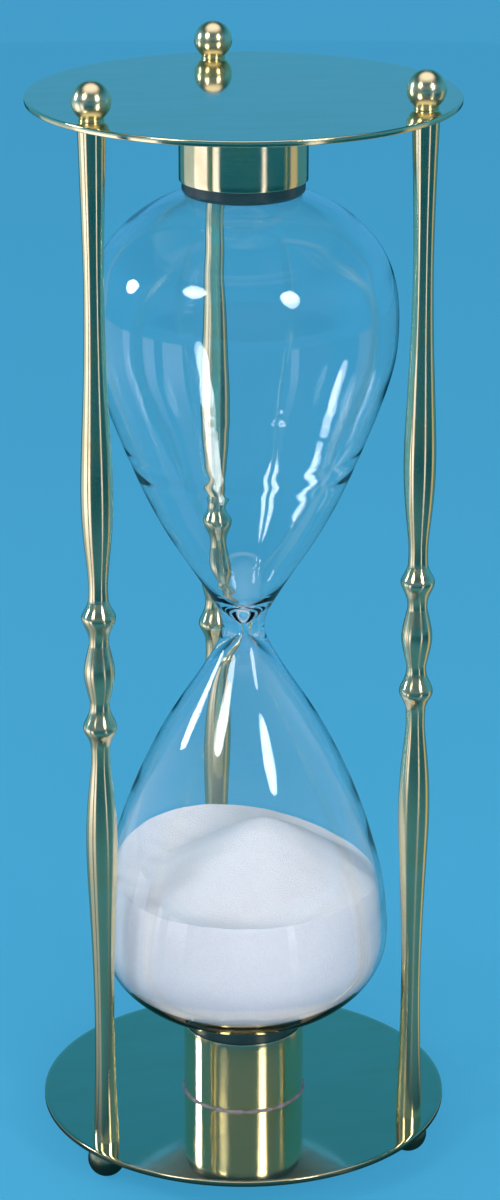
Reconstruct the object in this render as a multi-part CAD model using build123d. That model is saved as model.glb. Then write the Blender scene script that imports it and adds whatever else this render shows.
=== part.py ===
from build123d import *
import math
import os

# Hourglass: a one-piece glass held between two brass plates on three turned pillars.
# Millimetres, +Z up, origin at the middle of the footprint, on the floor.
# The frame can be stood on either end, so both ends carry the same finials, cups and cushions.

# Overall size and the plates
PLATE_RADIUS = 56.0
PLATE_THICKNESS = 1.5
PLATE_EDGE_BEVEL = 0.25
FINIAL_HEIGHT = 9.6
PILLAR_LENGTH = 281.1

# Levels above the floor
LOWER_PLATE_Z = FINIAL_HEIGHT
LOWER_PLATE_TOP_Z = LOWER_PLATE_Z + PLATE_THICKNESS
UPPER_PLATE_Z = LOWER_PLATE_TOP_Z + PILLAR_LENGTH
UPPER_PLATE_TOP_Z = UPPER_PLATE_Z + PLATE_THICKNESS
MIDDLE_Z = LOWER_PLATE_TOP_Z + PILLAR_LENGTH / 2

# Pillars: name, angle round the plate, height of the turned pattern above the middle.
# The pattern sits a little low on two of them.
PILLAR_CIRCLE_RADIUS = 48.8
PILLARS = (
    ("rear", 90.0, -4.15),
    ("front_left", 210.0, -4.15),
    ("front_right", 330.0, 0.65),
)
PILLAR_END_RADIUS = 3.6

# Half of the turned pattern, as (distance from the pattern's centre, radius)
OVAL_PROFILE = ((0.0, 4.1), (4.5, 3.45), (8.0, 2.65))
BEAD_PROFILE = ((8.0, 2.65), (10.2, 2.75), (13.0, 3.75), (15.6, 4.5), (17.8, 3.5), (20.0, 2.65))
SHAFT_PROFILE = (
    (20.0, 2.65),
    (24.0, 2.55),
    (31.0, 3.1),
    (39.0, 3.85),
    (48.0, 4.2),
    (60.0, 3.9),
    (76.0, 3.2),
    (91.0, 2.75),
    (106.0, 2.65),
    (121.0, 2.95),
)

# Threaded studs that pull each pillar, plate and finial together
STUD_RADIUS = 1.5
STUD_DEPTH_IN_PILLAR = 12.0
STUD_DEPTH_IN_FINIAL = 6.0
STUD_HOLE_CLEARANCE_DEPTH = 0.5
STUD_END_CHAMFER = 0.3
PLATE_HOLE_RADIUS = 1.6

# Ball finials, flattened at the pole so that the hourglass stands firmly
BALL_RADIUS = 5.1
BALL_FLAT_RADIUS = 1.2
FINIAL_NECK_RADIUS = 3.2

# Cups on the inner faces of the plates
CUP_RADIUS = 16.7
CUP_WALL = 0.7
CUP_FLOOR = 0.8
CUP_HEIGHT = 20.6
CUP_RIM_ROUNDING = 0.2
CUP_LIP_RADIUS = 17.2
CUP_LIP_HEIGHT = 0.5

# Rubber cushions standing in the cups
CUSHION_PROUD = 3.6
CUSHION_RADIUS = CUP_RADIUS - CUP_WALL
CUSHION_BORE_RADIUS = 8.5
CUSHION_EDGE_ROUNDING = 1.4

# Glass. The neck lies a little below the middle of the frame.
NECK_Z = MIDDLE_Z - 2.3
NECK_RADIUS = 5.6
ORIFICE_RADIUS = 0.9
ORIFICE_HALF_LENGTH = 1.8
WALL = 1.4
STEM_RADIUS = 6.0
STEM_BORE_RADIUS = 4.4
UPPER_STEM_END = 131.0
LOWER_STEM_END = 125.0
STEM_TIP_ROUNDING = 3.5

# Outer surface as (distance from the neck, radius); both bulbs share the cone next to the neck
CONE_PROFILE = ((4.0, 6.5), (8.0, 8.6), (13.0, 11.6), (25.0, 19.3), (38.0, 26.2), (51.0, 31.7))
UPPER_BULB_PROFILE = (
    (64.0, 36.7),
    (75.0, 39.8),
    (85.0, 40.6),
    (94.0, 39.8),
    (102.0, 37.0),
    (108.0, 32.6),
    (113.4, 26.4),
    (117.2, 19.4),
    (119.3, 13.2),
    (120.6, 9.2),
    (121.9, 7.1),
    (124.0, 6.0),
)
LOWER_BULB_PROFILE = (
    (64.0, 35.9),
    (75.0, 38.5),
    (85.0, 39.6),
    (94.0, 39.3),
    (101.0, 36.1),
    (107.6, 29.6),
    (111.6, 22.4),
    (113.9, 15.6),
    (115.2, 9.8),
    (116.3, 7.4),
    (118.4, 6.0),
)

# Inner surface next to the neck, then near the ends, as (distance from the neck, radius)
FUNNEL_PROFILE = ((3.6, 2.3), (6.0, 4.5), (9.5, 7.6), (14.0, 10.8))
CROWN_START = 102.5
UPPER_INNER_END = (
    (107.1, 31.3),
    (112.2, 25.5),
    (115.9, 18.6),
    (118.0, 12.2),
    (119.6, 7.6),
    (121.4, 5.3),
    (124.0, 4.4),
)
LOWER_INNER_END = ((106.6, 28.4), (110.3, 21.6), (112.6, 14.8), (113.9, 8.0), (114.3, 3.0))

# Sand in the lower bulb: its level at the wall slopes a little, and a heap stands on it,
# a cone with a rounded top, off the axis towards the low side
SAND_LEVEL_Z = NECK_Z - 70.05
SAND_SLOPE_ANGLE = 5.1
SAND_HIGH_SIDE_ANGLE = 130.1
HEAP_PLACE = (5.0, -0.9)
HEAP_APEX_Z = NECK_Z - 52.4
HEAP_SLOPE = 0.8
HEAP_TOP_ROUNDING = 5.9
HEAP_RADII = (30.0, 24.0, 18.0, 12.0, 8.0, 4.0, 0.0)

# Stopper in the filling stem
STOPPER_DEPTH = 7.0
STOPPER_PROUD = 2.0
STOPPER_HEAD_RADIUS = 5.4


def turned(build_outline):
    """Revolve a closed outline, drawn as radius and height, into a solid about Z."""
    with BuildPart() as piece:
        with BuildSketch(Plane.XZ):
            with BuildLine():
                build_outline()
            make_face()
        revolve(axis=Axis.Z)
    return piece.part


def mirrored(piece):
    """The same piece at the other end of the frame."""
    return piece.mirror(Plane.XY.offset(MIDDLE_Z))


def on_pillar_circle(piece, angle):
    """Move a piece made on the Z axis out to a pillar position."""
    x = PILLAR_CIRCLE_RADIUS * math.cos(math.radians(angle))
    y = PILLAR_CIRCLE_RADIUS * math.sin(math.radians(angle))
    return Pos(x, y, 0) * piece


def plate(bottom_z):
    """A thin disc with a hole for each stud."""
    disc = Pos(0, 0, bottom_z + PLATE_THICKNESS / 2) * Cylinder(PLATE_RADIUS, PLATE_THICKNESS)
    rims = disc.edges().filter_by(GeomType.CIRCLE)
    disc = chamfer(rims, PLATE_EDGE_BEVEL)
    hole = Pos(0, 0, bottom_z + PLATE_THICKNESS / 2) * Cylinder(PLATE_HOLE_RADIUS, 2 * PLATE_THICKNESS)
    for _, angle, _ in PILLARS:
        disc -= on_pillar_circle(hole, angle)
    return disc


def pillar(pattern_height):
    """A turned pillar: shaft, bead, oval, bead, shaft, with a tapped hole in each end."""
    centre = MIDDLE_Z + pattern_height

    def outline():
        for side in (-1, 1):
            end_z = MIDDLE_Z + side * PILLAR_LENGTH / 2
            shaft = [(radius, centre + side * distance) for distance, radius in SHAFT_PROFILE]
            shaft.append((PILLAR_END_RADIUS, end_z))
            Spline(*shaft)
            Spline(*[(radius, centre + side * distance) for distance, radius in BEAD_PROFILE])
            Line((PILLAR_END_RADIUS, end_z), (0, end_z))
        lower_half = [(radius, centre - distance) for distance, radius in reversed(OVAL_PROFILE)]
        upper_half = [(radius, centre + distance) for distance, radius in OVAL_PROFILE[1:]]
        Spline(*lower_half, *upper_half)
        Line((0, LOWER_PLATE_TOP_Z), (0, UPPER_PLATE_Z))

    shaft = turned(outline)
    depth = STUD_DEPTH_IN_PILLAR + STUD_HOLE_CLEARANCE_DEPTH
    hole = Cylinder(STUD_RADIUS, depth)
    shaft -= Pos(0, 0, LOWER_PLATE_TOP_Z + depth / 2) * hole
    shaft -= Pos(0, 0, UPPER_PLATE_Z - depth / 2) * hole
    return shaft


def upper_stud():
    """A threaded stud from the pillar, through the plate, into the finial."""
    length = STUD_DEPTH_IN_PILLAR + PLATE_THICKNESS + STUD_DEPTH_IN_FINIAL
    stud = Cylinder(STUD_RADIUS, length)
    stud = chamfer(stud.edges().filter_by(GeomType.CIRCLE), STUD_END_CHAMFER)
    return Pos(0, 0, UPPER_PLATE_TOP_Z + STUD_DEPTH_IN_FINIAL - length / 2) * stud


def upper_finial():
    """A ball on a short neck, flattened at the pole and tapped from below."""
    ball_z = FINIAL_HEIGHT - math.sqrt(BALL_RADIUS**2 - BALL_FLAT_RADIUS**2)
    neck_z = ball_z - math.sqrt(BALL_RADIUS**2 - FINIAL_NECK_RADIUS**2)

    def outline():
        base = UPPER_PLATE_TOP_Z
        Line((0, base), (FINIAL_NECK_RADIUS, base))
        Line((FINIAL_NECK_RADIUS, base), (FINIAL_NECK_RADIUS, base + neck_z))
        ThreePointArc(
            (FINIAL_NECK_RADIUS, base + neck_z),
            (BALL_RADIUS, base + ball_z),
            (BALL_FLAT_RADIUS, base + FINIAL_HEIGHT),
        )
        Line((BALL_FLAT_RADIUS, base + FINIAL_HEIGHT), (0, base + FINIAL_HEIGHT))
        Line((0, base + FINIAL_HEIGHT), (0, base))

    depth = STUD_DEPTH_IN_FINIAL + STUD_HOLE_CLEARANCE_DEPTH
    hole = Pos(0, 0, UPPER_PLATE_TOP_Z + depth / 2) * Cylinder(STUD_RADIUS, depth)
    return turned(outline) - hole


def lower_cup():
    """A spun cup with a flat floor and a narrow lip, soldered to the plate."""
    inside_height = CUP_HEIGHT - CUP_FLOOR
    inside_z = LOWER_PLATE_TOP_Z + CUP_FLOOR + inside_height / 2
    body = Pos(0, 0, LOWER_PLATE_TOP_Z + CUP_HEIGHT / 2) * Cylinder(CUP_RADIUS, CUP_HEIGHT)
    body += Pos(0, 0, LOWER_PLATE_TOP_Z + CUP_LIP_HEIGHT / 2) * Cylinder(CUP_LIP_RADIUS, CUP_LIP_HEIGHT)
    body -= Pos(0, 0, inside_z) * Cylinder(CUP_RADIUS - CUP_WALL, inside_height)
    rim = body.edges().filter_by(GeomType.CIRCLE).group_by(Axis.Z)[-1]
    return fillet(rim, CUP_RIM_ROUNDING)


def lower_cushion(solid_glass):
    """A thick rubber ring from the cup's floor to just above its rim, seated to the glass."""
    bottom = LOWER_PLATE_TOP_Z + CUP_FLOOR
    height = CUP_HEIGHT - CUP_FLOOR + CUSHION_PROUD
    ring = Cylinder(CUSHION_RADIUS, height) - Cylinder(CUSHION_BORE_RADIUS, height)
    outer_edge = ring.edges().filter_by(GeomType.CIRCLE).group_by(Axis.Z)[-1].sort_by(SortBy.RADIUS)[-1]
    ring = Pos(0, 0, bottom + height / 2) * fillet(outer_edge, CUSHION_EDGE_ROUNDING)
    return (ring - solid_glass).solids().sort_by(SortBy.VOLUME)[-1]


def bulb_wall(profile):
    """Step a bulb's outer profile in by the wall, leaving out the neck and the closed end."""
    first = FUNNEL_PROFILE[-1][0]
    return [(distance, radius - WALL) for distance, radius in profile if first < distance < CROWN_START]


def above_neck(profile):
    """Turn (distance from the neck, radius) pairs into outline points, going up."""
    return [(radius, NECK_Z + distance) for distance, radius in profile]


def below_neck(profile):
    """The same, going down."""
    return [(radius, NECK_Z - distance) for distance, radius in profile]


def draw_outer_wall():
    """Draw the outside of the glass from the sealed stem's tip to the filling stem's mouth."""
    tip_z = NECK_Z - LOWER_STEM_END
    mouth_z = NECK_Z + UPPER_STEM_END
    neck = (NECK_RADIUS, NECK_Z)
    lower = below_neck(CONE_PROFILE + LOWER_BULB_PROFILE)
    upper = above_neck(CONE_PROFILE + UPPER_BULB_PROFILE)
    Line((0, tip_z), (STEM_RADIUS - STEM_TIP_ROUNDING, tip_z))
    TangentArc(
        (STEM_RADIUS - STEM_TIP_ROUNDING, tip_z),
        (STEM_RADIUS, tip_z + STEM_TIP_ROUNDING),
        tangent=(1, 0),
    )
    Line((STEM_RADIUS, tip_z + STEM_TIP_ROUNDING), lower[-1])
    Spline(*reversed(lower), neck, *upper)
    Line(upper[-1], (STEM_RADIUS, mouth_z))


def draw_inner_wall():
    """Draw the inside of the glass from the lower bulb's floor to the filling stem's mouth."""
    mouth_z = NECK_Z + UPPER_STEM_END
    orifice_bottom = (ORIFICE_RADIUS, NECK_Z - ORIFICE_HALF_LENGTH)
    orifice_top = (ORIFICE_RADIUS, NECK_Z + ORIFICE_HALF_LENGTH)
    lower_wall = bulb_wall(CONE_PROFILE + LOWER_BULB_PROFILE)
    upper_wall = bulb_wall(CONE_PROFILE + UPPER_BULB_PROFILE)
    lower = below_neck(list(FUNNEL_PROFILE) + lower_wall + list(LOWER_INNER_END))
    upper = above_neck(list(FUNNEL_PROFILE) + upper_wall + list(UPPER_INNER_END))
    Line((0, lower[-1][1]), lower[-1])
    Spline(orifice_bottom, *lower)
    Line(orifice_bottom, orifice_top)
    Spline(orifice_top, *upper)
    Line(upper[-1], (STEM_BORE_RADIUS, mouth_z))


def glass_bulbs():
    """The glass in one piece: two bulbs, the neck, a sealed stem and an open filling stem."""
    mouth_z = NECK_Z + UPPER_STEM_END
    floor_z = NECK_Z - LOWER_INNER_END[-1][0]

    def outline():
        draw_outer_wall()
        Line((STEM_RADIUS, mouth_z), (STEM_BORE_RADIUS, mouth_z))
        draw_inner_wall()
        Line((0, floor_z), (0, NECK_Z - LOWER_STEM_END))

    return turned(outline)


def glass_outside():
    """The glass as if it were solid."""
    mouth_z = NECK_Z + UPPER_STEM_END

    def outline():
        draw_outer_wall()
        Line((STEM_RADIUS, mouth_z), (0, mouth_z))
        Line((0, mouth_z), (0, NECK_Z - LOWER_STEM_END))

    return turned(outline)


def glass_inside():
    """The hollow inside the glass."""
    mouth_z = NECK_Z + UPPER_STEM_END
    floor_z = NECK_Z - LOWER_INNER_END[-1][0]

    def outline():
        draw_inner_wall()
        Line((STEM_BORE_RADIUS, mouth_z), (0, mouth_z))
        Line((0, mouth_z), (0, floor_z))

    return turned(outline)


def heap():
    """The cone of sand, reaching down past the level it stands on."""
    floor_z = NECK_Z - LOWER_STEM_END
    drops = [HEAP_SLOPE * math.hypot(radius, HEAP_TOP_ROUNDING) for radius in HEAP_RADII]
    flank = [(radius, HEAP_APEX_Z - drop) for radius, drop in zip(HEAP_RADII, drops)]

    def outline():
        Line((0, floor_z), (flank[0][0], floor_z))
        Line((flank[0][0], floor_z), flank[0])
        Spline(*flank, tangents=((-1, HEAP_SLOPE), (-1, 0)))
        Line(flank[-1], (0, floor_z))

    return Pos(*HEAP_PLACE, 0) * turned(outline)


def sand(inside):
    """Sand filling the bottom of the lower bulb, with its heap."""
    size = 2 * PLATE_RADIUS
    below_level = Pos(0, 0, -size / 2) * Box(size, size, size)
    slope = Rot(0, 0, SAND_HIGH_SIDE_ANGLE) * Rot(0, -SAND_SLOPE_ANGLE, 0)
    below_level = Pos(0, 0, SAND_LEVEL_Z) * slope * below_level
    return inside & (below_level + heap())


def stopper():
    """A cork stopper closing the filling stem."""
    end = NECK_Z + UPPER_STEM_END

    def outline():
        bottom = end - STOPPER_DEPTH
        top = end + STOPPER_PROUD
        Line((0, bottom), (STEM_BORE_RADIUS, bottom))
        Line((STEM_BORE_RADIUS, bottom), (STEM_BORE_RADIUS, end))
        Line((STEM_BORE_RADIUS, end), (STOPPER_HEAD_RADIUS, end))
        Line((STOPPER_HEAD_RADIUS, end), (STOPPER_HEAD_RADIUS, top))
        Line((STOPPER_HEAD_RADIUS, top), (0, top))
        Line((0, top), (0, bottom))

    return turned(outline)


def save(piece, name):
    """Write one piece to its own file."""
    solids = piece.solids()
    if len(solids) != 1:
        raise ValueError(f"{name} has {len(solids)} solids")
    export_step(solids[0], f"parts/{name}.step")


def main():
    """Build every piece in place and write it."""
    os.makedirs("parts", exist_ok=True)
    save(plate(LOWER_PLATE_Z), "bottom_plate")
    save(plate(UPPER_PLATE_Z), "top_plate")
    for name, angle, pattern_height in PILLARS:
        save(on_pillar_circle(pillar(pattern_height), angle), f"pillar_{name}")
        finial = on_pillar_circle(upper_finial(), angle)
        save(finial, f"upper_finial_{name}")
        save(mirrored(finial), f"lower_finial_{name}")
        stud = on_pillar_circle(upper_stud(), angle)
        save(stud, f"upper_stud_{name}")
        save(mirrored(stud), f"lower_stud_{name}")
    cup = lower_cup()
    save(cup, "lower_cup")
    save(mirrored(cup), "upper_cup")
    outside = glass_outside()
    save(lower_cushion(outside), "lower_cushion")
    save(mirrored(lower_cushion(mirrored(outside))), "upper_cushion")
    save(glass_bulbs(), "glass_bulbs")
    save(sand(glass_inside()), "sand")
    save(stopper(), "filling_stopper")


main()
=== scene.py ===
import math

import bpy
import numpy as np
from mathutils import Matrix, Vector


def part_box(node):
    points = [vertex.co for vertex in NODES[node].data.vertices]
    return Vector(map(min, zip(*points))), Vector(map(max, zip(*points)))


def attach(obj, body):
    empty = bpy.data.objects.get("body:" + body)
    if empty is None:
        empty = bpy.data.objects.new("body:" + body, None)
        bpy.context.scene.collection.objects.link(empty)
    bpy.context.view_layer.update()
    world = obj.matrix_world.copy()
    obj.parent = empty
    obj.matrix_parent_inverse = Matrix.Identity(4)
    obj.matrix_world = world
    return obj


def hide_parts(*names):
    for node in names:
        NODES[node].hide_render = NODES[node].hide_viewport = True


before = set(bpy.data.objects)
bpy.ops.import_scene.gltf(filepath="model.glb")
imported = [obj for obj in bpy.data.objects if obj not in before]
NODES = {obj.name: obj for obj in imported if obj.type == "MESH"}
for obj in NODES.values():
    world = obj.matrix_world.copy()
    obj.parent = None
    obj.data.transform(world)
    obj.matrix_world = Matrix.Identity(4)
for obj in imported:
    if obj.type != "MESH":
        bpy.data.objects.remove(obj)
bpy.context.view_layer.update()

# Hourglass in polished brass, glass and white sand. The pieces are turned in millimetres from
# (radius, height) outlines and placed in metres.
MM = 0.001
PILLAR_NAMES = ("rear", "front_left", "front_right")

# ---------------------------------------------------------------------------
# Camera
# ---------------------------------------------------------------------------
CAMERA_TURN = math.radians(-9.868)
CAMERA_PITCH = math.radians(19.919)
CAMERA_YAW = math.radians(-0.117)
CAMERA_ROLL = math.radians(0.042)
CAMERA_PLACE = Vector((3.54 * MM, -886.6 * MM, 477.7 * MM))
CAMERA_SENSOR = 36.0
CAMERA_LENS = 105.47


def make_camera():
    """A long lens, looking down a little, turned round the hourglass's axis."""
    data = bpy.data.cameras.new("camera")
    data.sensor_fit = "VERTICAL"
    data.sensor_height = CAMERA_SENSOR
    data.lens = CAMERA_LENS
    camera = bpy.data.objects.new("camera", data)
    bpy.context.scene.collection.objects.link(camera)
    forward = Vector((
        math.sin(CAMERA_YAW) * math.cos(CAMERA_PITCH),
        math.cos(CAMERA_YAW) * math.cos(CAMERA_PITCH),
        -math.sin(CAMERA_PITCH),
    ))
    right = Vector((math.cos(CAMERA_YAW), -math.sin(CAMERA_YAW), 0.0))
    up = right.cross(forward)
    rolled_right = right * math.cos(CAMERA_ROLL) + up * math.sin(CAMERA_ROLL)
    rolled_up = up * math.cos(CAMERA_ROLL) - right * math.sin(CAMERA_ROLL)
    aim = Matrix((rolled_right, rolled_up, -forward)).transposed().to_4x4()
    aim.translation = CAMERA_PLACE
    camera.matrix_world = Matrix.Rotation(CAMERA_TURN, 4, "Z") @ aim
    bpy.context.scene.camera = camera


make_camera()

# ---------------------------------------------------------------------------
# Modelling helpers
# ---------------------------------------------------------------------------
STARTING_SQUARE = 0.1 * MM
MERGE_DISTANCE = 0.002 * MM


def deselect_all():
    """Nothing selected, so that the next operator acts only on what it makes."""
    if bpy.context.object is not None and bpy.context.object.mode != "OBJECT":
        bpy.ops.object.mode_set(mode="OBJECT")
    bpy.ops.object.select_all(action="DESELECT")


def smooth_outline(stations, spacing):
    """Points along a smooth curve through (radius, height) stations, in millimetres."""
    points = np.array(stations, dtype=float)
    steps = np.hypot(*np.diff(points, axis=0).T)
    count = len(points)
    system = np.zeros((count, count))
    target = np.zeros((count, 2))
    system[0, 0] = system[-1, -1] = 1.0
    for i in range(1, count - 1):
        before, after = steps[i - 1], steps[i]
        system[i, i - 1:i + 2] = before, 2 * (before + after), after
        target[i] = 6 * ((points[i + 1] - points[i]) / after - (points[i] - points[i - 1]) / before)
    bend = np.linalg.solve(system, target)
    outline = []
    for i in range(count - 1):
        span = steps[i]
        parts = max(1, int(round(span / spacing)))
        for k in range(parts):
            t = k / parts * span
            a = (points[i + 1] - points[i]) / span - span * (2 * bend[i] + bend[i + 1]) / 6
            curve = bend[i] * t**2 / 2 + (bend[i + 1] - bend[i]) * t**3 / (6 * span)
            outline.append(points[i] + a * t + curve)
    outline.append(points[-1])
    return [tuple(p) for p in outline]


def lathe(name, outline, turns, centre=(0.0, 0.0), closed=False):
    """Turn an outline of (radius, height) millimetres round a vertical axis through centre."""
    deselect_all()
    first_radius, first_height = outline[0]
    cx, cy = centre[0] * MM, centre[1] * MM
    bpy.ops.mesh.primitive_plane_add(size=STARTING_SQUARE, location=(0, 0, 0))
    piece = bpy.context.object
    piece.name = name
    piece.data.name = name
    bpy.ops.object.mode_set(mode="EDIT")
    bpy.ops.mesh.select_mode(type="VERT")
    bpy.ops.mesh.select_all(action="SELECT")
    bpy.ops.mesh.merge(type="CENTER")
    bpy.ops.transform.translate(value=(cx + first_radius * MM, cy, first_height * MM))
    path = outline + outline[:1] if closed else outline
    for (r0, z0), (r1, z1) in zip(path, path[1:]):
        bpy.ops.mesh.extrude_region_move(
            TRANSFORM_OT_translate={"value": ((r1 - r0) * MM, 0.0, (z1 - z0) * MM)}
        )
    bpy.ops.mesh.select_all(action="SELECT")
    bpy.ops.mesh.spin(steps=turns, angle=2 * math.pi, center=(cx, cy, 0.0), axis=(0.0, 0.0, 1.0))
    bpy.ops.mesh.select_all(action="SELECT")
    bpy.ops.mesh.remove_doubles(threshold=MERGE_DISTANCE)
    bpy.ops.mesh.normals_make_consistent(inside=False)
    bpy.ops.object.mode_set(mode="OBJECT")
    return piece


def settle(piece, slot, *nodes):
    """Give a finished piece its place in the frame."""
    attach(piece, "root")
    if nodes:
        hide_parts(*nodes)


def smooth(piece, degrees):
    """Smooth shading, keeping edges sharper than the angle."""
    deselect_all()
    piece.select_set(True)
    bpy.context.view_layer.objects.active = piece
    bpy.ops.object.shade_smooth_by_angle(angle=math.radians(degrees))


# ---------------------------------------------------------------------------
# Materials
# ---------------------------------------------------------------------------


def new_material(name):
    """A material with only a Principled shader, with its node tree and that shader."""
    material = bpy.data.materials.new(name)
    material.use_nodes = True
    tree = material.node_tree
    shader = tree.nodes["Principled BSDF"]
    return material, tree, shader


def ramp(tree, source, stops):
    """A colour ramp over source; stops are (position, grey or colour)."""
    node = tree.nodes.new("ShaderNodeValToRGB")
    elements = node.color_ramp.elements
    stops = list(stops)
    while len(elements) < len(stops):
        elements.new(0.5)
    for element, (position, value) in zip(elements, stops):
        element.position = position
        element.color = (*value, 1.0) if isinstance(value, tuple) else (value, value, value, 1.0)
    tree.links.new(source, node.inputs["Fac"])
    return node.outputs["Color"]


def noise(tree, vector, scale, detail=3.0, roughness=0.55):
    """A noise texture's factor."""
    node = tree.nodes.new("ShaderNodeTexNoise")
    node.inputs["Scale"].default_value = scale
    node.inputs["Detail"].default_value = detail
    node.inputs["Roughness"].default_value = roughness
    tree.links.new(vector, node.inputs["Vector"])
    return node.outputs["Fac"]


def stretched(tree, vector, scale, place=(0, 0, 0)):
    """Coordinates moved to a centre, then scaled by axis."""
    node = tree.nodes.new("ShaderNodeMapping")
    node.inputs["Location"].default_value = [-p * s for p, s in zip(place, scale)]
    node.inputs["Scale"].default_value = scale
    tree.links.new(vector, node.inputs["Vector"])
    return node.outputs["Vector"]


def maths(tree, operation, a, b, c=None):
    """A Math node; each input is a number or a socket."""
    node = tree.nodes.new("ShaderNodeMath")
    node.operation = operation
    for socket, value in zip(node.inputs, (a, b, c)):
        if value is None:
            continue
        if isinstance(value, (int, float)):
            socket.default_value = value
        else:
            tree.links.new(value, socket)
    return node.outputs[0]


def mix_colour(tree, factor, a, b, blend="MIX"):
    """A Mix node for two colours; each is a colour or a socket."""
    node = tree.nodes.new("ShaderNodeMix")
    node.data_type = "RGBA"
    node.blend_type = blend
    for index, value in ((0, factor), (6, a), (7, b)):
        if isinstance(value, (int, float)):
            node.inputs[index].default_value = value
        elif isinstance(value, tuple):
            node.inputs[index].default_value = (*value, 1.0)
        else:
            tree.links.new(value, node.inputs[index])
    return node.outputs[2]


def new_group(name, inputs, outputs):
    """An empty shader group with float inputs (name, value) and outputs (name, type)."""
    group = bpy.data.node_groups.new(name, "ShaderNodeTree")
    group.interface.new_socket("Vector", in_out="INPUT", socket_type="NodeSocketVector")
    for socket_name, value in inputs:
        socket = group.interface.new_socket(socket_name, in_out="INPUT", socket_type="NodeSocketFloat")
        socket.default_value = value
    for socket_name, kind in outputs:
        group.interface.new_socket(socket_name, in_out="OUTPUT", socket_type=kind)
    entry = group.nodes.new("NodeGroupInput")
    leave = group.nodes.new("NodeGroupOutput")
    return group, entry.outputs, leave.inputs


def make_turning_marks():
    """Fine rings left by turning and polishing: narrow in height, long round the piece."""
    group, given, out = new_group(
        "turning marks", [("Rings per metre", 4000.0)], [("Height", "NodeSocketFloat")]
    )
    squeeze = group.nodes.new("ShaderNodeCombineXYZ")
    squeeze.inputs[0].default_value = 12.0
    squeeze.inputs[1].default_value = 12.0
    group.links.new(given["Rings per metre"], squeeze.inputs[2])
    scaled = group.nodes.new("ShaderNodeVectorMath")
    scaled.operation = "MULTIPLY"
    group.links.new(given["Vector"], scaled.inputs[0])
    group.links.new(squeeze.outputs[0], scaled.inputs[1])
    rings = noise(group, scaled.outputs[0], scale=1.0, detail=4.0, roughness=0.7)
    group.links.new(rings, out["Height"])
    return group


def make_handling():
    """Thin film and fingermarks: a cloudy mask with soft smears."""
    group, given, out = new_group(
        "handling film", [("Scale", 30.0)], [("Mask", "NodeSocketFloat")]
    )
    scaled = group.nodes.new("ShaderNodeVectorMath")
    scaled.operation = "SCALE"
    group.links.new(given["Vector"], scaled.inputs[0])
    group.links.new(given["Scale"], scaled.inputs["Scale"])
    cloud = noise(group, scaled.outputs[0], scale=1.0, detail=5.0, roughness=0.6)
    wiped = stretched(group, scaled.outputs[0], (1.0, 3.5, 1.0))
    smears = noise(group, wiped, scale=2.3, detail=2.0, roughness=0.5)
    both = maths(group, "MULTIPLY", cloud, smears)
    group.links.new(ramp(group, both, [(0.12, 0.0), (0.42, 1.0)]), out["Mask"])
    return group


TURNING_MARKS = make_turning_marks()
HANDLING_FILM = make_handling()


def use_group(tree, group, vector, **values):
    """Place a shared group in a material with its own values."""
    node = tree.nodes.new("ShaderNodeGroup")
    node.node_tree = group
    tree.links.new(vector, node.inputs["Vector"])
    for name, value in values.items():
        node.inputs[name.replace("_", " ")].default_value = value
    return node.outputs


def object_coordinates(tree):
    """Coordinates fixed to the piece, in metres."""
    return tree.nodes.new("ShaderNodeTexCoord").outputs["Object"]


def add_bump(tree, shader, height, distance, strength=1.0):
    """Feed a height into the shader's normal."""
    bump = tree.nodes.new("ShaderNodeBump")
    bump.inputs["Strength"].default_value = strength
    bump.inputs["Distance"].default_value = distance
    tree.links.new(height, bump.inputs["Height"])
    tree.links.new(bump.outputs[0], shader.inputs["Normal"])


BRASS = (0.86, 0.77, 0.50)
BRASS_WARM = (0.83, 0.69, 0.38)
BRASS_PLATE = (0.86, 0.80, 0.60)
BRASS_PLATE_WARM = (0.83, 0.76, 0.52)


def make_turned_brass(name, centre, polish, stretch):
    """Lathe-turned brass under polish: highlights stretch along the piece, across its rings."""
    material, tree, shader = new_material(name)
    place = stretched(tree, object_coordinates(tree), (1, 1, 1), centre)
    marks = use_group(tree, TURNING_MARKS, place, Rings_per_metre=5200.0)
    film = use_group(tree, HANDLING_FILM, place, Scale=38.0)
    tone = mix_colour(tree, film["Mask"], BRASS, BRASS_WARM)
    tree.links.new(tone, shader.inputs["Base Color"])
    shader.inputs["Metallic"].default_value = 1.0
    rough = maths(tree, "MULTIPLY_ADD", film["Mask"], 0.06, polish)
    tree.links.new(rough, shader.inputs["Roughness"])
    shader.inputs["Anisotropic"].default_value = stretch
    shader.inputs["Anisotropic Rotation"].default_value = 0.25
    tangent = tree.nodes.new("ShaderNodeTangent")
    tangent.direction_type = "RADIAL"
    tangent.axis = "Z"
    tree.links.new(tangent.outputs[0], shader.inputs["Tangent"])
    add_bump(tree, shader, marks["Height"], distance=0.00002, strength=0.5)
    return material


def make_mirror_brass():
    """Plate brass, buffed to a mirror, with a thin film and the faintest ripple."""
    material, tree, shader = new_material("mirror brass")
    place = object_coordinates(tree)
    film = use_group(tree, HANDLING_FILM, place, Scale=22.0)
    tone = mix_colour(tree, film["Mask"], BRASS_PLATE, BRASS_PLATE_WARM)
    tree.links.new(tone, shader.inputs["Base Color"])
    shader.inputs["Metallic"].default_value = 1.0
    rough = maths(tree, "MULTIPLY_ADD", film["Mask"], 0.05, 0.05)
    tree.links.new(rough, shader.inputs["Roughness"])
    ripple = noise(tree, place, scale=16.0, detail=2.0, roughness=0.4)
    add_bump(tree, shader, ripple, distance=0.0004, strength=0.08)
    return material


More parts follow.
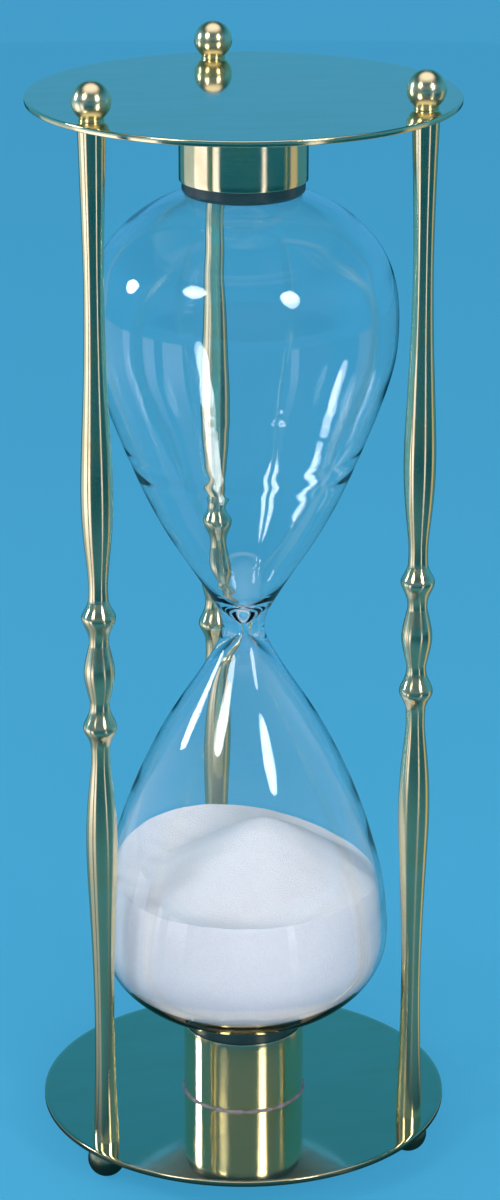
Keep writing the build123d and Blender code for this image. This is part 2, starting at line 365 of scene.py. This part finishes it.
def make_glass():
    """Clear blown glass. Rays from lamps pass straight through, so the sand is lit."""
    material, tree, shader = new_material("clear glass")
    shader.inputs["Base Color"].default_value = (0.955, 0.985, 0.99, 1.0)
    shader.inputs["Roughness"].default_value = 0.0
    shader.inputs["IOR"].default_value = 1.5
    shader.inputs["Transmission Weight"].default_value = 1.0
    place = object_coordinates(tree)
    flattened = stretched(tree, place, (1.0, 1.0, 3.0))
    waves = noise(tree, flattened, scale=18.0, detail=1.0, roughness=0.4)
    add_bump(tree, shader, waves, distance=0.0012, strength=0.5)
    clear = tree.nodes.new("ShaderNodeBsdfTransparent")
    clear.inputs["Color"].default_value = (0.93, 0.97, 0.98, 1.0)
    path = tree.nodes.new("ShaderNodeLightPath")
    both = tree.nodes.new("ShaderNodeMixShader")
    tree.links.new(path.outputs["Is Shadow Ray"], both.inputs[0])
    tree.links.new(shader.outputs[0], both.inputs[1])
    tree.links.new(clear.outputs[0], both.inputs[2])
    tree.links.new(both.outputs[0], tree.nodes["Material Output"].inputs["Surface"])
    return material


def make_sand():
    """Fine dry white sand: grains in the bump, and a little lighter or darker from grain to grain."""
    material, tree, shader = new_material("white sand")
    place = object_coordinates(tree)
    grains = tree.nodes.new("ShaderNodeTexVoronoi")
    grains.inputs["Scale"].default_value = 3200.0
    tree.links.new(place, grains.inputs["Vector"])
    drift = noise(tree, place, scale=60.0, detail=4.0, roughness=0.6)
    tone = mix_colour(tree, drift, (0.71, 0.70, 0.75), (0.78, 0.77, 0.81))
    speck = ramp(tree, grains.outputs["Color"], [(0.0, 0.80), (0.5, 1.0)])
    tree.links.new(mix_colour(tree, 0.5, tone, speck, "MULTIPLY"), shader.inputs["Base Color"])
    shader.inputs["Roughness"].default_value = 0.85
    fine = maths(tree, "ADD", grains.outputs["Distance"], maths(tree, "MULTIPLY", drift, 3.0))
    add_bump(tree, shader, fine, distance=0.00025, strength=0.7)
    return material


def make_rubber():
    """Moulded black rubber with a cold cast, mottled in gloss."""
    material, tree, shader = new_material("black rubber")
    place = object_coordinates(tree)
    mottle = noise(tree, place, scale=700.0, detail=3.0, roughness=0.6)
    film = use_group(tree, HANDLING_FILM, place, Scale=60.0)
    tone = mix_colour(tree, film["Mask"], (0.006, 0.028, 0.034), (0.016, 0.05, 0.058))
    tree.links.new(tone, shader.inputs["Base Color"])
    rough = maths(tree, "MULTIPLY_ADD", mottle, 0.2, 0.22)
    tree.links.new(rough, shader.inputs["Roughness"])
    add_bump(tree, shader, mottle, distance=0.00008, strength=0.5)
    return material


def make_steel():
    """Plain steel, a little uneven in tone."""
    material, tree, shader = new_material("stud steel")
    place = object_coordinates(tree)
    patches = noise(tree, place, scale=400.0)
    tone = ramp(tree, patches, [(0.3, (0.42, 0.42, 0.43)), (0.7, (0.6, 0.6, 0.6))])
    tree.links.new(tone, shader.inputs["Base Color"])
    shader.inputs["Metallic"].default_value = 1.0
    shader.inputs["Roughness"].default_value = 0.35
    return material


def make_solder():
    """Dull grey solder, wiped and uneven."""
    material, tree, shader = new_material("dull solder")
    place = object_coordinates(tree)
    patches = noise(tree, place, scale=500.0)
    tone = ramp(tree, patches, [(0.3, (0.17, 0.17, 0.21)), (0.7, (0.38, 0.37, 0.41))])
    tree.links.new(tone, shader.inputs["Base Color"])
    shader.inputs["Metallic"].default_value = 0.6
    shader.inputs["Roughness"].default_value = 0.5
    add_bump(tree, shader, noise(tree, place, scale=900.0), distance=0.0001, strength=0.6)
    return material


def make_cork():
    """Natural cork with dark pores."""
    material, tree, shader = new_material("cork")
    place = object_coordinates(tree)
    pores = noise(tree, place, scale=900.0, detail=5.0, roughness=0.65)
    browns = [(0.35, (0.22, 0.13, 0.07)), (0.5, (0.6, 0.42, 0.25)), (0.7, (0.68, 0.5, 0.32))]
    tree.links.new(ramp(tree, pores, browns), shader.inputs["Base Color"])
    shader.inputs["Roughness"].default_value = 0.8
    add_bump(tree, shader, pores, distance=0.0003, strength=0.6)
    return material


def paint(piece, material):
    """One material all over a piece."""
    piece.data.materials.clear()
    piece.data.materials.append(material)


# ---------------------------------------------------------------------------
# Places, in millimetres
# ---------------------------------------------------------------------------


def height_range(node_name):
    """A node's lowest and highest level."""
    low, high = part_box(node_name)
    return low[2] / MM, high[2] / MM


def middle_of(node_name):
    """The vertical axis that a turned node is centred on."""
    low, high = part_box(node_name)
    return (low[0] + high[0]) / 2 / MM, (low[1] + high[1]) / 2 / MM


LOWER_PLATE = height_range("bottom_plate")
UPPER_PLATE = height_range("top_plate")
PLATE_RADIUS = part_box("top_plate")[1][0] / MM
LOWER_STEM_LENGTH = 125.0
NECK_Z = height_range("glass_bulbs")[0] + LOWER_STEM_LENGTH
MOUTH_Z = height_range("glass_bulbs")[1]

# ---------------------------------------------------------------------------
# Turned brass: pillars, finials, cups and plates
# ---------------------------------------------------------------------------
OVAL = ((0.0, 4.1), (4.5, 3.45), (8.0, 2.65))
BEAD = ((8.0, 2.65), (10.2, 2.75), (13.0, 3.75), (15.6, 4.5), (17.8, 3.5), (20.0, 2.65))
SHAFT = (
    (20.0, 2.65), (24.0, 2.55), (31.0, 3.1), (39.0, 3.85), (48.0, 4.2),
    (60.0, 3.9), (76.0, 3.2), (91.0, 2.75), (106.0, 2.65), (121.0, 2.95),
)
SHAFT_SPACING = 1.2
BEAD_SPACING = 0.4
OVAL_SPACING = 0.5
PILLAR_END_RADIUS = 3.6
PATTERN_HEIGHTS = {"rear": -4.15, "front_left": -4.15, "front_right": 0.65}
BALL_RADIUS = 5.1
BALL_FLAT_RADIUS = 1.2
BALL_STEPS = 30
FINIAL_NECK_RADIUS = 3.2
FINIAL_FOOT_FLARE = 0.25
FINIAL_FOOT_HEIGHT = 0.2
FINIAL_HEIGHT = LOWER_PLATE[0]
CUP_RADIUS = 16.7
CUP_WALL = 0.7
CUP_FLOOR = 0.8
CUP_HEIGHT = 20.6
CUP_EDGE_ROUNDING = 0.2
CUP_CORNER = 0.5
CUP_RINGS = (0.0, 0.3, 1.0, 5.0, 10.0, 15.0, 19.0)
PLATE_EASE = 0.3
PLATE_RINGS = (30.0, PLATE_RADIUS - 1.2)
PLATE_RIM_START = PLATE_RADIUS - 0.35
CUP_LIP_RADIUS = 17.2
CUP_LIP_HEIGHT = 0.5
SEAM_PROFILE = (
    (CUP_RADIUS - 0.2, 0.0), (CUP_LIP_RADIUS, 0.0), (CUP_LIP_RADIUS, 0.2),
    (CUP_RADIUS + 0.25, 0.45), (CUP_RADIUS - 0.2, CUP_LIP_HEIGHT),
)
SEAM_FOOT = 0.1
SEAM_HIGHEST = 0.8
PILLAR_TURNS, CUP_TURNS, SEAM_TURNS, PLATE_TURNS = 64, 160, 180, 240
PILLAR_POLISH, PILLAR_STRETCH = 0.14, 0.9
BALL_POLISH, BALL_STRETCH = 0.24, 0.5
CUP_POLISH, CUP_STRETCH = 0.12, 0.9


def arc(centre_radius, centre_height, radius, start, end, steps):
    """Points on an arc in the outline's plane; angles in degrees from outwards, up."""
    angles = [math.radians(start + (end - start) * k / steps) for k in range(steps + 1)]
    return [(centre_radius + radius * math.cos(a), centre_height + radius * math.sin(a)) for a in angles]


def pillar_outline(name):
    """The turned pattern, in both directions from its centre, out to the pillar's two ends."""
    bottom, top = LOWER_PLATE[1], UPPER_PLATE[0]
    centre = (bottom + top) / 2 + PATTERN_HEIGHTS[name]
    outline = [(0.0, bottom)]
    shaft = [(r, centre - d) for d, r in reversed(SHAFT)]
    outline += smooth_outline([(PILLAR_END_RADIUS, bottom)] + shaft, SHAFT_SPACING)
    outline += smooth_outline([(r, centre - d) for d, r in reversed(BEAD)], BEAD_SPACING)[1:]
    oval = [(r, centre - d) for d, r in reversed(OVAL)] + [(r, centre + d) for d, r in OVAL[1:]]
    outline += smooth_outline(oval, OVAL_SPACING)[1:]
    outline += smooth_outline([(r, centre + d) for d, r in BEAD], BEAD_SPACING)[1:]
    shaft = [(r, centre + d) for d, r in SHAFT]
    outline += smooth_outline(shaft + [(PILLAR_END_RADIUS, top)], SHAFT_SPACING)[1:]
    return outline + [(0.0, top)]


def finial_outline(base, direction):
    """A ball on a short neck; direction is 1 above the top plate and -1 under the bottom one."""
    ball = FINIAL_HEIGHT - math.sqrt(BALL_RADIUS**2 - BALL_FLAT_RADIUS**2)
    start = -math.degrees(math.acos(FINIAL_NECK_RADIUS / BALL_RADIUS))
    end = math.degrees(math.acos(BALL_FLAT_RADIUS / BALL_RADIUS))
    outline = [(0.0, 0.0), (FINIAL_NECK_RADIUS + FINIAL_FOOT_FLARE, 0.0)]
    outline += [(FINIAL_NECK_RADIUS, FINIAL_FOOT_HEIGHT)]
    outline += arc(0.0, ball, BALL_RADIUS, start, end, BALL_STEPS)
    outline += [(0.0, FINIAL_HEIGHT)]
    return [(r, base + direction * h) for r, h in outline]


def cup_outline(base, direction):
    """A spun cup with a rounded rim and a floor, open away from its plate."""
    inner = CUP_RADIUS - CUP_WALL
    edge = CUP_EDGE_ROUNDING
    outline = [(0.0, 0.0)] + [(CUP_RADIUS, h) for h in CUP_RINGS]
    outline += arc(CUP_RADIUS - edge, CUP_HEIGHT - edge, edge, 0, 90, 4)
    outline += arc(inner + edge, CUP_HEIGHT - edge, edge, 90, 180, 4)
    outline += [(inner, CUP_FLOOR + CUP_CORNER), (inner - CUP_CORNER, CUP_FLOOR), (0.0, CUP_FLOOR)]
    return [(r, base + direction * h) for r, h in outline]


def plate_outline(bottom, top):
    """A disc with an eased edge, and rings enough for its flat faces to shade evenly."""
    outline = [(0.0, bottom)] + [(r, bottom) for r in PLATE_RINGS]
    outline += arc(PLATE_RADIUS - PLATE_EASE, bottom + PLATE_EASE, PLATE_EASE, -90, 0, 4)
    outline += [(PLATE_RADIUS, (bottom + top) / 2)]
    outline += arc(PLATE_RADIUS - PLATE_EASE, top - PLATE_EASE, PLATE_EASE, 0, 90, 4)
    return outline + [(r, top) for r in reversed(PLATE_RINGS)] + [(0.0, top)]


def make_solder_seam(name, base, direction):
    """The thin uneven line of solder at the foot of a cup."""
    outline = [(r, base + direction * h) for r, h in SEAM_PROFILE]
    ring = lathe(name, outline, SEAM_TURNS, closed=True)
    for vertex in ring.data.vertices:
        height = (vertex.co.z / MM - base) * direction
        if height < SEAM_FOOT:
            continue
        angle = math.atan2(vertex.co.y, vertex.co.x)
        swell = 1.0 + 0.3 * math.sin(5 * angle + 1.0) * math.sin(11 * angle)
        swell += 0.15 * math.sin(23 * angle)
        vertex.co.z = (base + direction * min(height * swell, SEAM_HIGHEST)) * MM
    return ring


MIRROR_BRASS = make_mirror_brass()
CUP_BRASS = make_turned_brass("cup brass", (0, 0, 0), CUP_POLISH, CUP_STRETCH)
CLEAR_GLASS = make_glass()
WHITE_SAND = make_sand()
BLACK_RUBBER = make_rubber()
STUD_STEEL = make_steel()
SOLDER = make_solder()
CORK = make_cork()

for pillar_name in PILLAR_NAMES:
    centre = middle_of("pillar_" + pillar_name)
    spoken_name = pillar_name.replace("_", " ")
    axis = (centre[0] * MM, centre[1] * MM, 0.0)
    pillar_brass = make_turned_brass("pillar brass " + spoken_name, axis, PILLAR_POLISH, PILLAR_STRETCH)
    ball_brass = make_turned_brass("ball brass " + spoken_name, axis, BALL_POLISH, BALL_STRETCH)
    pillar = lathe("pillar_turned_" + pillar_name, pillar_outline(pillar_name), PILLAR_TURNS, centre)
    smooth(pillar, 50)
    paint(pillar, pillar_brass)
    settle(pillar, "polished_brass", "pillar_" + pillar_name)
    for end, base, direction in (("upper", UPPER_PLATE[1], 1), ("lower", LOWER_PLATE[0], -1)):
        finial = lathe(f"{end}_ball_{pillar_name}", finial_outline(base, direction), PILLAR_TURNS, centre)
        smooth(finial, 50)
        paint(finial, ball_brass)
        settle(finial, "polished_brass", f"{end}_finial_{pillar_name}")

for end, base, direction in (("upper", UPPER_PLATE[0], -1), ("lower", LOWER_PLATE[1], 1)):
    cup = lathe(f"{end}_spun_cup", cup_outline(base, direction), CUP_TURNS)
    smooth(cup, 50)
    paint(cup, CUP_BRASS)
    settle(cup, "polished_brass", f"{end}_cup")
    seam = make_solder_seam(f"{end}_solder_seam", base, direction)
    smooth(seam, 60)
    paint(seam, SOLDER)
    settle(seam, "polished_brass")

for plate_name, (bottom, top) in (("bottom_plate", LOWER_PLATE), ("top_plate", UPPER_PLATE)):
    disc = lathe(plate_name.split("_")[0] + "_mirror_disc", plate_outline(bottom, top), PLATE_TURNS)
    smooth(disc, 60)
    paint(disc, MIRROR_BRASS)
    disc.data.materials.append(CUP_BRASS)
    for face in disc.data.polygons:
        face.material_index = int(math.hypot(*face.center[:2]) > PLATE_RIM_START * MM)
    settle(disc, "polished_brass", plate_name)

# ---------------------------------------------------------------------------
# Glass and sand
# ---------------------------------------------------------------------------
WALL = 1.4
NECK_RADIUS = 5.6
ORIFICE_RADIUS = 0.9
ORIFICE_HALF_LENGTH = 1.8
STEM_RADIUS = 6.0
STEM_BORE_RADIUS = 4.4
STEM_TIP_ROUNDING = 3.5
CONE = ((4.0, 6.5), (8.0, 8.6), (13.0, 11.6), (25.0, 19.3), (38.0, 26.2), (51.0, 31.7))
UPPER_BULB = (
    (64.0, 36.7), (75.0, 39.8), (85.0, 40.6), (94.0, 39.8), (102.0, 37.0), (108.0, 32.6),
    (113.4, 26.4), (117.2, 19.4), (119.3, 13.2), (120.6, 9.2), (121.9, 7.1), (124.0, 6.0),
)
LOWER_BULB = (
    (64.0, 35.9), (75.0, 38.5), (85.0, 39.6), (94.0, 39.3), (101.0, 36.1), (107.6, 29.6),
    (111.6, 22.4), (113.9, 15.6), (115.2, 9.8), (116.3, 7.4), (118.4, 6.0),
)
FUNNEL = ((3.6, 2.3), (6.0, 4.5), (9.5, 7.6), (14.0, 10.8))
CROWN_START = 102.5
UPPER_INNER_END = (
    (107.1, 31.3), (112.2, 25.5), (115.9, 18.6), (118.0, 12.2), (119.6, 7.6), (121.4, 5.3), (124.0, 4.4),
)
LOWER_INNER_END = ((106.6, 28.4), (110.3, 21.6), (112.6, 14.8), (113.9, 8.0), (114.3, 3.0))
RIPPLE_HEIGHT = 48.0
RIPPLE_LENGTH = 7.0
RIPPLE_SPREAD = 4.0
RIPPLE_DEPTH = 0.12
OUTER_RIPPLE, INNER_RIPPLE = 0.6, -1.0
OUTER_SPACING, INNER_SPACING = 1.3, 1.5
MOUTH_ROUNDING = 0.3
GLASS_TURNS = 160


def above_neck(profile):
    """Turn (distance from the neck, radius) pairs into outline points, going up."""
    return [(radius, NECK_Z + distance) for distance, radius in profile]


def below_neck(profile):
    """The same, going down."""
    return [(radius, NECK_Z - distance) for distance, radius in profile]


def inner_stations(bulb, end):
    """A bulb's inner wall: the funnel, the outer wall stepped in, then the bulb's own end."""
    wall = [(d, r - WALL) for d, r in CONE + bulb if FUNNEL[-1][0] < d < CROWN_START]
    return list(FUNNEL) + wall + list(end)


def rippled(outline, share):
    """Add the rings that were left where the cone was drawn out of the bulb."""
    result = []
    for radius, height in outline:
        away = height - NECK_Z - RIPPLE_HEIGHT
        swing = math.sin(2 * math.pi * away / RIPPLE_LENGTH) * math.exp(-((away / RIPPLE_SPREAD) ** 2))
        result.append((radius + share * RIPPLE_DEPTH * swing, height))
    return result


def glass_outline():
    """Outside from the sealed stem to the mouth, then inside down to the lower bulb's floor."""
    tip = NECK_Z - LOWER_STEM_LENGTH
    outer_lower = below_neck(CONE + LOWER_BULB)
    outer_upper = above_neck(CONE + UPPER_BULB)
    outline = [(0.0, tip)]
    outline += arc(STEM_RADIUS - STEM_TIP_ROUNDING, tip + STEM_TIP_ROUNDING, STEM_TIP_ROUNDING, -90, 0, 8)
    outer = list(reversed(outer_lower)) + [(NECK_RADIUS, NECK_Z)] + outer_upper
    outline += rippled(smooth_outline(outer, OUTER_SPACING), OUTER_RIPPLE)
    outline += [(STEM_RADIUS, MOUTH_Z - MOUTH_ROUNDING), (STEM_RADIUS - MOUTH_ROUNDING, MOUTH_Z)]
    outline += [(STEM_BORE_RADIUS + MOUTH_ROUNDING, MOUTH_Z), (STEM_BORE_RADIUS, MOUTH_Z - MOUTH_ROUNDING)]
    inner_upper = above_neck(inner_stations(UPPER_BULB, UPPER_INNER_END))
    down = list(reversed(inner_upper)) + [(ORIFICE_RADIUS, NECK_Z + ORIFICE_HALF_LENGTH)]
    outline += rippled(smooth_outline(down, INNER_SPACING), INNER_RIPPLE)
    inner_lower = below_neck(inner_stations(LOWER_BULB, LOWER_INNER_END))
    waist = [(ORIFICE_RADIUS, NECK_Z - ORIFICE_HALF_LENGTH)]
    outline += smooth_outline(waist + inner_lower, INNER_SPACING)
    return outline + [(0.0, NECK_Z - LOWER_INNER_END[-1][0])]


glass = lathe("blown_glass", glass_outline(), GLASS_TURNS)
smooth(glass, 60)
paint(glass, CLEAR_GLASS)
settle(glass, "clear_glass", "glass_bulbs")

SAND_GAP = 0.05
SAND_FLOOR_BAND = 3.0
SAND_WALL_SPACING = 1.0
SAND_RIM_STEP = 0.5
SAND_RINGS = 40
SAND_TURNS = 160
SAND_LEVEL = NECK_Z - 73.0
SAND_STILL_BELOW = SAND_LEVEL - 14.0
BANK_SIDE = math.radians(122.0)
BANK_HEIGHT = 6.8
BANK_SPREAD = math.radians(108.0)
BANK_DISH = 1.2
BANK_INNER, BANK_OUTER = 18.0, 35.0
HEAP_PLACE = (5.0, -0.9)
HEAP_APEX = NECK_Z - 52.4
HEAP_SLOPE = 0.665
HEAP_SLOPE_SWING = 0.06
HEAP_BACK = math.radians(99.9)
HEAP_TOP_ROUNDING = 6.5
VALLEY_SOFTNESS = 0.9
RUN_DEPTH = 0.12
SURFACE_TOLERANCE = 0.001
CENTRE_TOLERANCE = 0.01


def sand_level(x, y):
    """The height of the sand: a heap, steeper at the back, and a bank against the wall behind it."""
    turn = math.atan2(y, x) - BANK_SIDE
    turn = abs((turn + math.pi) % (2 * math.pi) - math.pi)
    lean = math.cos(math.pi / 2 * min(1.0, turn / BANK_SPREAD)) ** 2
    rise = max(0.0, (math.hypot(x, y) - BANK_INNER) / (BANK_OUTER - BANK_INNER))
    bank = SAND_LEVEL - BANK_DISH + (BANK_HEIGHT * lean + BANK_DISH) * rise
    away_x, away_y = x - HEAP_PLACE[0], y - HEAP_PLACE[1]
    facing = math.cos(math.atan2(away_y, away_x) - HEAP_BACK)
    distance = math.hypot(away_x, away_y)
    slope = HEAP_SLOPE + HEAP_SLOPE_SWING * facing * min(1.0, distance / HEAP_TOP_ROUNDING)
    heap = HEAP_APEX - slope * math.hypot(distance, HEAP_TOP_ROUNDING)
    difference = (heap - bank) / VALLEY_SOFTNESS
    blend = math.log1p(math.exp(-abs(difference))) * VALLEY_SOFTNESS
    runs = RUN_DEPTH * math.sin(0.55 * x + 0.3 * y) * math.sin(0.4 * y - 0.2 * x)
    return max(heap, bank) + blend + runs


def make_sand_fill():
    """Turn the bulb's hollow up to the sand's level, then lift the surface to its real shape."""
    stations = below_neck(inner_stations(LOWER_BULB, LOWER_INNER_END))
    wall_points = smooth_outline(stations, SAND_WALL_SPACING)
    wall_radii = np.array([r - SAND_GAP for r, h in reversed(wall_points)])
    wall_heights = np.array([h for r, h in reversed(wall_points)])
    rim_radius = float(np.interp(SAND_LEVEL, wall_heights, wall_radii))
    outline = [(0.0, wall_heights[0] + SAND_GAP)]
    outline += [(r, h + (SAND_GAP if h < wall_heights[0] + SAND_FLOOR_BAND else 0.0))
                for r, h in zip(wall_radii, wall_heights) if h < SAND_LEVEL - SAND_RIM_STEP]
    outline += [(rim_radius, SAND_LEVEL)]
    outline += [(rim_radius * k / SAND_RINGS, SAND_LEVEL) for k in reversed(range(SAND_RINGS))]
    fill = lathe("sand_fill", outline, SAND_TURNS)
    for vertex in fill.data.vertices:
        x, y, z = (c / MM for c in vertex.co)
        radius = math.hypot(x, y)
        if z > SAND_LEVEL - SURFACE_TOLERANCE:
            rim_x = x / radius * rim_radius if radius > CENTRE_TOLERANCE else 0.0
            rim_y = y / radius * rim_radius if radius > CENTRE_TOLERANCE else 0.0
            new_rim = float(np.interp(sand_level(rim_x, rim_y), wall_heights, wall_radii))
            x, y = x * new_rim / rim_radius, y * new_rim / rim_radius
            z = sand_level(x, y)
        elif z > SAND_STILL_BELOW:
            share = (z - SAND_STILL_BELOW) / (SAND_LEVEL - SAND_STILL_BELOW)
            rim = sand_level(x / radius * rim_radius, y / radius * rim_radius)
            z += share * (rim - SAND_LEVEL)
            new_radius = float(np.interp(z, wall_heights, wall_radii))
            x, y = x * new_radius / radius, y * new_radius / radius
        vertex.co = (x * MM, y * MM, z * MM)
    return fill


sand = make_sand_fill()
smooth(sand, 60)
paint(sand, WHITE_SAND)
settle(sand, "white_sand", "sand")

for node_name, node in NODES.items():
    if "stud" in node_name:
        paint(node, STUD_STEEL)
    elif "cushion" in node_name:
        paint(node, BLACK_RUBBER)
    elif node_name == "filling_stopper":
        paint(node, CORK)

# ---------------------------------------------------------------------------
# Stage and light
# ---------------------------------------------------------------------------
FLOOR_COLOUR = (0.03, 0.18, 0.28)
FLOOR_LIFT = (0.034, 0.26, 0.46)
SOFT_LIGHT_STOPS = (
    (0.0, (0.66, 0.64, 0.66)),
    (0.5, (0.29, 0.31, 0.36)),
    (1.0, (0.09, 0.11, 0.13)),
)
BACK_STOPS = (
    (0.00, (0.07, 0.36, 0.65)),
    (0.22, (0.07, 0.35, 0.63)),
    (0.45, (0.03, 0.23, 0.40)),
    (0.66, (0.008, 0.07, 0.10)),
    (0.78, (0.006, 0.05, 0.07)),
    (0.90, (1.20, 1.15, 1.15)),
)
FRONT_STOPS = (
    (0.00, (0.01, 0.08, 0.13)),
    (0.10, (0.01, 0.08, 0.13)),
    (0.22, (0.17, 0.26, 0.32)),
    (0.45, (0.11, 0.22, 0.31)),
    (0.66, (0.02, 0.08, 0.11)),
    (0.78, (0.006, 0.05, 0.07)),
    (0.90, (1.20, 1.15, 1.15)),
)
# Glow colours of the wedges that only reflections see: painted reflections for the brass and glass.
MAT_DARK = (0.001, 0.07, 0.13)
MAT_TEAL = (0.06, 0.24, 0.36)
MAT_LIGHT = (1.7, 1.65, 1.9)
MAT_DIM = (0.35, 0.42, 0.50)
MAT_PALE = (0.60, 0.72, 0.84)
MAT_GOLD = (0.62, 0.52, 0.30)
# Painted shadow: the floor round the hourglass, as dark as in its shade, for the reflections in the feet
# and lower pillars.
MAT_PAINTED_SHADOW = (0.001, 0.02, 0.035)
# Each wedge: start and end in degrees off the camera's side, then its near and far glow colours.
MAT_WEDGES = (
    (-180, -150, MAT_TEAL, MAT_DARK), (-150, -130, MAT_TEAL, MAT_TEAL),
    (-130, -97, MAT_TEAL, MAT_PALE), (-97, -67, MAT_DIM, MAT_LIGHT),
    (-67, -60, MAT_TEAL, MAT_DARK), (-60, -44, MAT_DIM, MAT_LIGHT),
    (-44, 34, MAT_TEAL, MAT_DARK), (34, 40, MAT_DIM, MAT_LIGHT),
    (40, 92, MAT_TEAL, MAT_DARK), (92, 110, MAT_GOLD, MAT_GOLD),
    (110, 150, MAT_TEAL, MAT_TEAL), (150, 180, MAT_TEAL, MAT_DARK),
)
MAT_FADE = (0.06, 0.14, 0.2, 0.6)
MAT_STEPS = 8
MAT_HEIGHT = 0.3 * MM
MAT_INNER = 1 * MM
MAT_OUTER = 1.6
FLOOR_SIZE = 12.0
LAMP_TARGET = Vector((0, 0, 0.17))
# Each lamp: name, azimuth off the camera's and elevation in degrees, distance, width and height
# in metres, and watts.
LAMPS = (
    ("left side lamp", -97, 20, 1.1, 0.22, 0.21, 2.0),
    ("left front lamp", -42, 37, 1.1, 0.32, 0.28, 2.7),
    ("right front lamp", 38, 30, 1.1, 0.25, 0.34, 2.6),
)
FILL_LAMP = ("low front fill", 5, 12, 1.6, 0.8, 0.4, 17.0)
FILL_COLOUR = (1.0, 0.78, 0.74)


def make_floor():
    """A wide plain blue floor."""
    deselect_all()
    bpy.ops.mesh.primitive_plane_add(size=FLOOR_SIZE, location=(0, 0, 0))
    floor = bpy.context.object
    floor.name = "floor"
    material, tree, shader = new_material("blue floor")
    shader.inputs["Base Color"].default_value = (*FLOOR_COLOUR, 1.0)
    shader.inputs["Roughness"].default_value = 0.9
    shader.inputs["Emission Color"].default_value = (*FLOOR_LIFT, 1.0)
    shader.inputs["Emission Strength"].default_value = 1.0
    paint(floor, material)


def make_glowing_reflection_card(name, start, end, near, far):
    """A glowing wedge on the floor, no lamp, that only reflections see. It gives the brass painted
    reflections, so that the brass has depth, with painted shadow in the part nearest the hourglass.
    """
    rings = []
    for radius in (MAT_INNER, MAT_OUTER):
        ring = []
        for k in range(MAT_STEPS + 1):
            turn = math.radians(start + (end - start) * k / MAT_STEPS) + CAMERA_TURN
            ring.append((radius * math.sin(turn), -radius * math.cos(turn), MAT_HEIGHT))
        rings.append(ring)
    faces = [(k, k + MAT_STEPS + 1, k + MAT_STEPS + 2, k + 1) for k in range(MAT_STEPS)]
    mesh = bpy.data.meshes.new(name)
    mesh.from_pydata(rings[0] + rings[1], [], faces)
    glow_card = bpy.data.objects.new(name, mesh)
    bpy.context.scene.collection.objects.link(glow_card)
    material, tree, shader = new_material(name)
    shader.inputs["Base Color"].default_value = (0.0, 0.0, 0.0, 1.0)
    shader.inputs["Roughness"].default_value = 1.0
    shader.inputs["Specular IOR Level"].default_value = 0.0
    distance = tree.nodes.new("ShaderNodeVectorMath")
    distance.operation = "LENGTH"
    tree.links.new(object_coordinates(tree), distance.inputs[0])
    # From the middle out: painted shadow, then the wedge's near glow, fading to its far glow.
    fade = ramp(tree, distance.outputs["Value"], zip(MAT_FADE, (MAT_PAINTED_SHADOW, near, near, far)))
    tree.links.new(fade, shader.inputs["Emission Color"])
    shader.inputs["Emission Strength"].default_value = 1.0
    paint(glow_card, material)
    glow_card.visible_camera = False
    glow_card.visible_diffuse = False
    glow_card.visible_transmission = False
    glow_card.visible_shadow = False


def aim_from(azimuth, elevation, distance):
    """A place seen from the target at an azimuth off the camera's and an elevation."""
    turn = math.radians(azimuth) + CAMERA_TURN
    rise = math.radians(elevation)
    away = Vector((
        math.sin(turn) * math.cos(rise),
        -math.cos(turn) * math.cos(rise),
        math.sin(rise),
    ))
    return LAMP_TARGET + away * distance, away


def make_lamp(name, azimuth, elevation, distance, width, height, watts, colour=(1, 1, 1)):
    """A round or oval softbox aimed at the middle of the hourglass."""
    place, away = aim_from(azimuth, elevation, distance)
    data = bpy.data.lights.new(name, "AREA")
    data.shape = "ELLIPSE"
    data.size = width
    data.size_y = height
    data.energy = watts
    data.color = colour
    lamp = bpy.data.objects.new(name, data)
    bpy.context.scene.collection.objects.link(lamp)
    lamp.location = place
    lamp.rotation_euler = away.to_track_quat("Z", "Y").to_euler()
    return lamp


def make_world():
    """A room for reflections, dark halfway up and pale overhead, and a softer one for matt surfaces."""
    world = bpy.data.worlds.new("studio")
    world.use_nodes = True
    tree = world.node_tree
    place = tree.nodes.new("ShaderNodeTexCoord")
    split = tree.nodes.new("ShaderNodeSeparateXYZ")
    tree.links.new(place.outputs["Generated"], split.inputs[0])
    back = ramp(tree, split.outputs["Z"], BACK_STOPS)
    front = ramp(tree, split.outputs["Z"], FRONT_STOPS)
    toward = tree.nodes.new("ShaderNodeVectorMath")
    toward.operation = "DOT_PRODUCT"
    toward.inputs[1].default_value = (math.sin(CAMERA_TURN), -math.cos(CAMERA_TURN), 0.0)
    tree.links.new(place.outputs["Generated"], toward.inputs[0])
    side = ramp(tree, toward.outputs["Value"], [(0.0, 0.0), (0.5, 1.0)])
    room = mix_colour(tree, side, back, front)
    path = tree.nodes.new("ShaderNodeLightPath")
    soft_light = ramp(tree, split.outputs["Z"], SOFT_LIGHT_STOPS)
    colour = mix_colour(tree, path.outputs["Is Diffuse Ray"], room, soft_light)
    background = tree.nodes["Background"]
    tree.links.new(colour, background.inputs["Color"])
    background.inputs["Strength"].default_value = 1.0
    bpy.context.scene.world = world


bpy.context.scene.view_settings.view_transform = "Standard"
make_floor()
make_world()
# Glowing wedges that only reflections see: painted reflections, with painted shadow nearest the hourglass.
for number, wedge in enumerate(MAT_WEDGES):
    make_glowing_reflection_card(f"mat {number}", *wedge)
for lamp_settings in LAMPS:
    make_lamp(*lamp_settings)
fill = make_lamp(*FILL_LAMP, FILL_COLOUR)
fill.visible_glossy = False
fill.visible_transmission = False

bpy.context.view_layer.update()
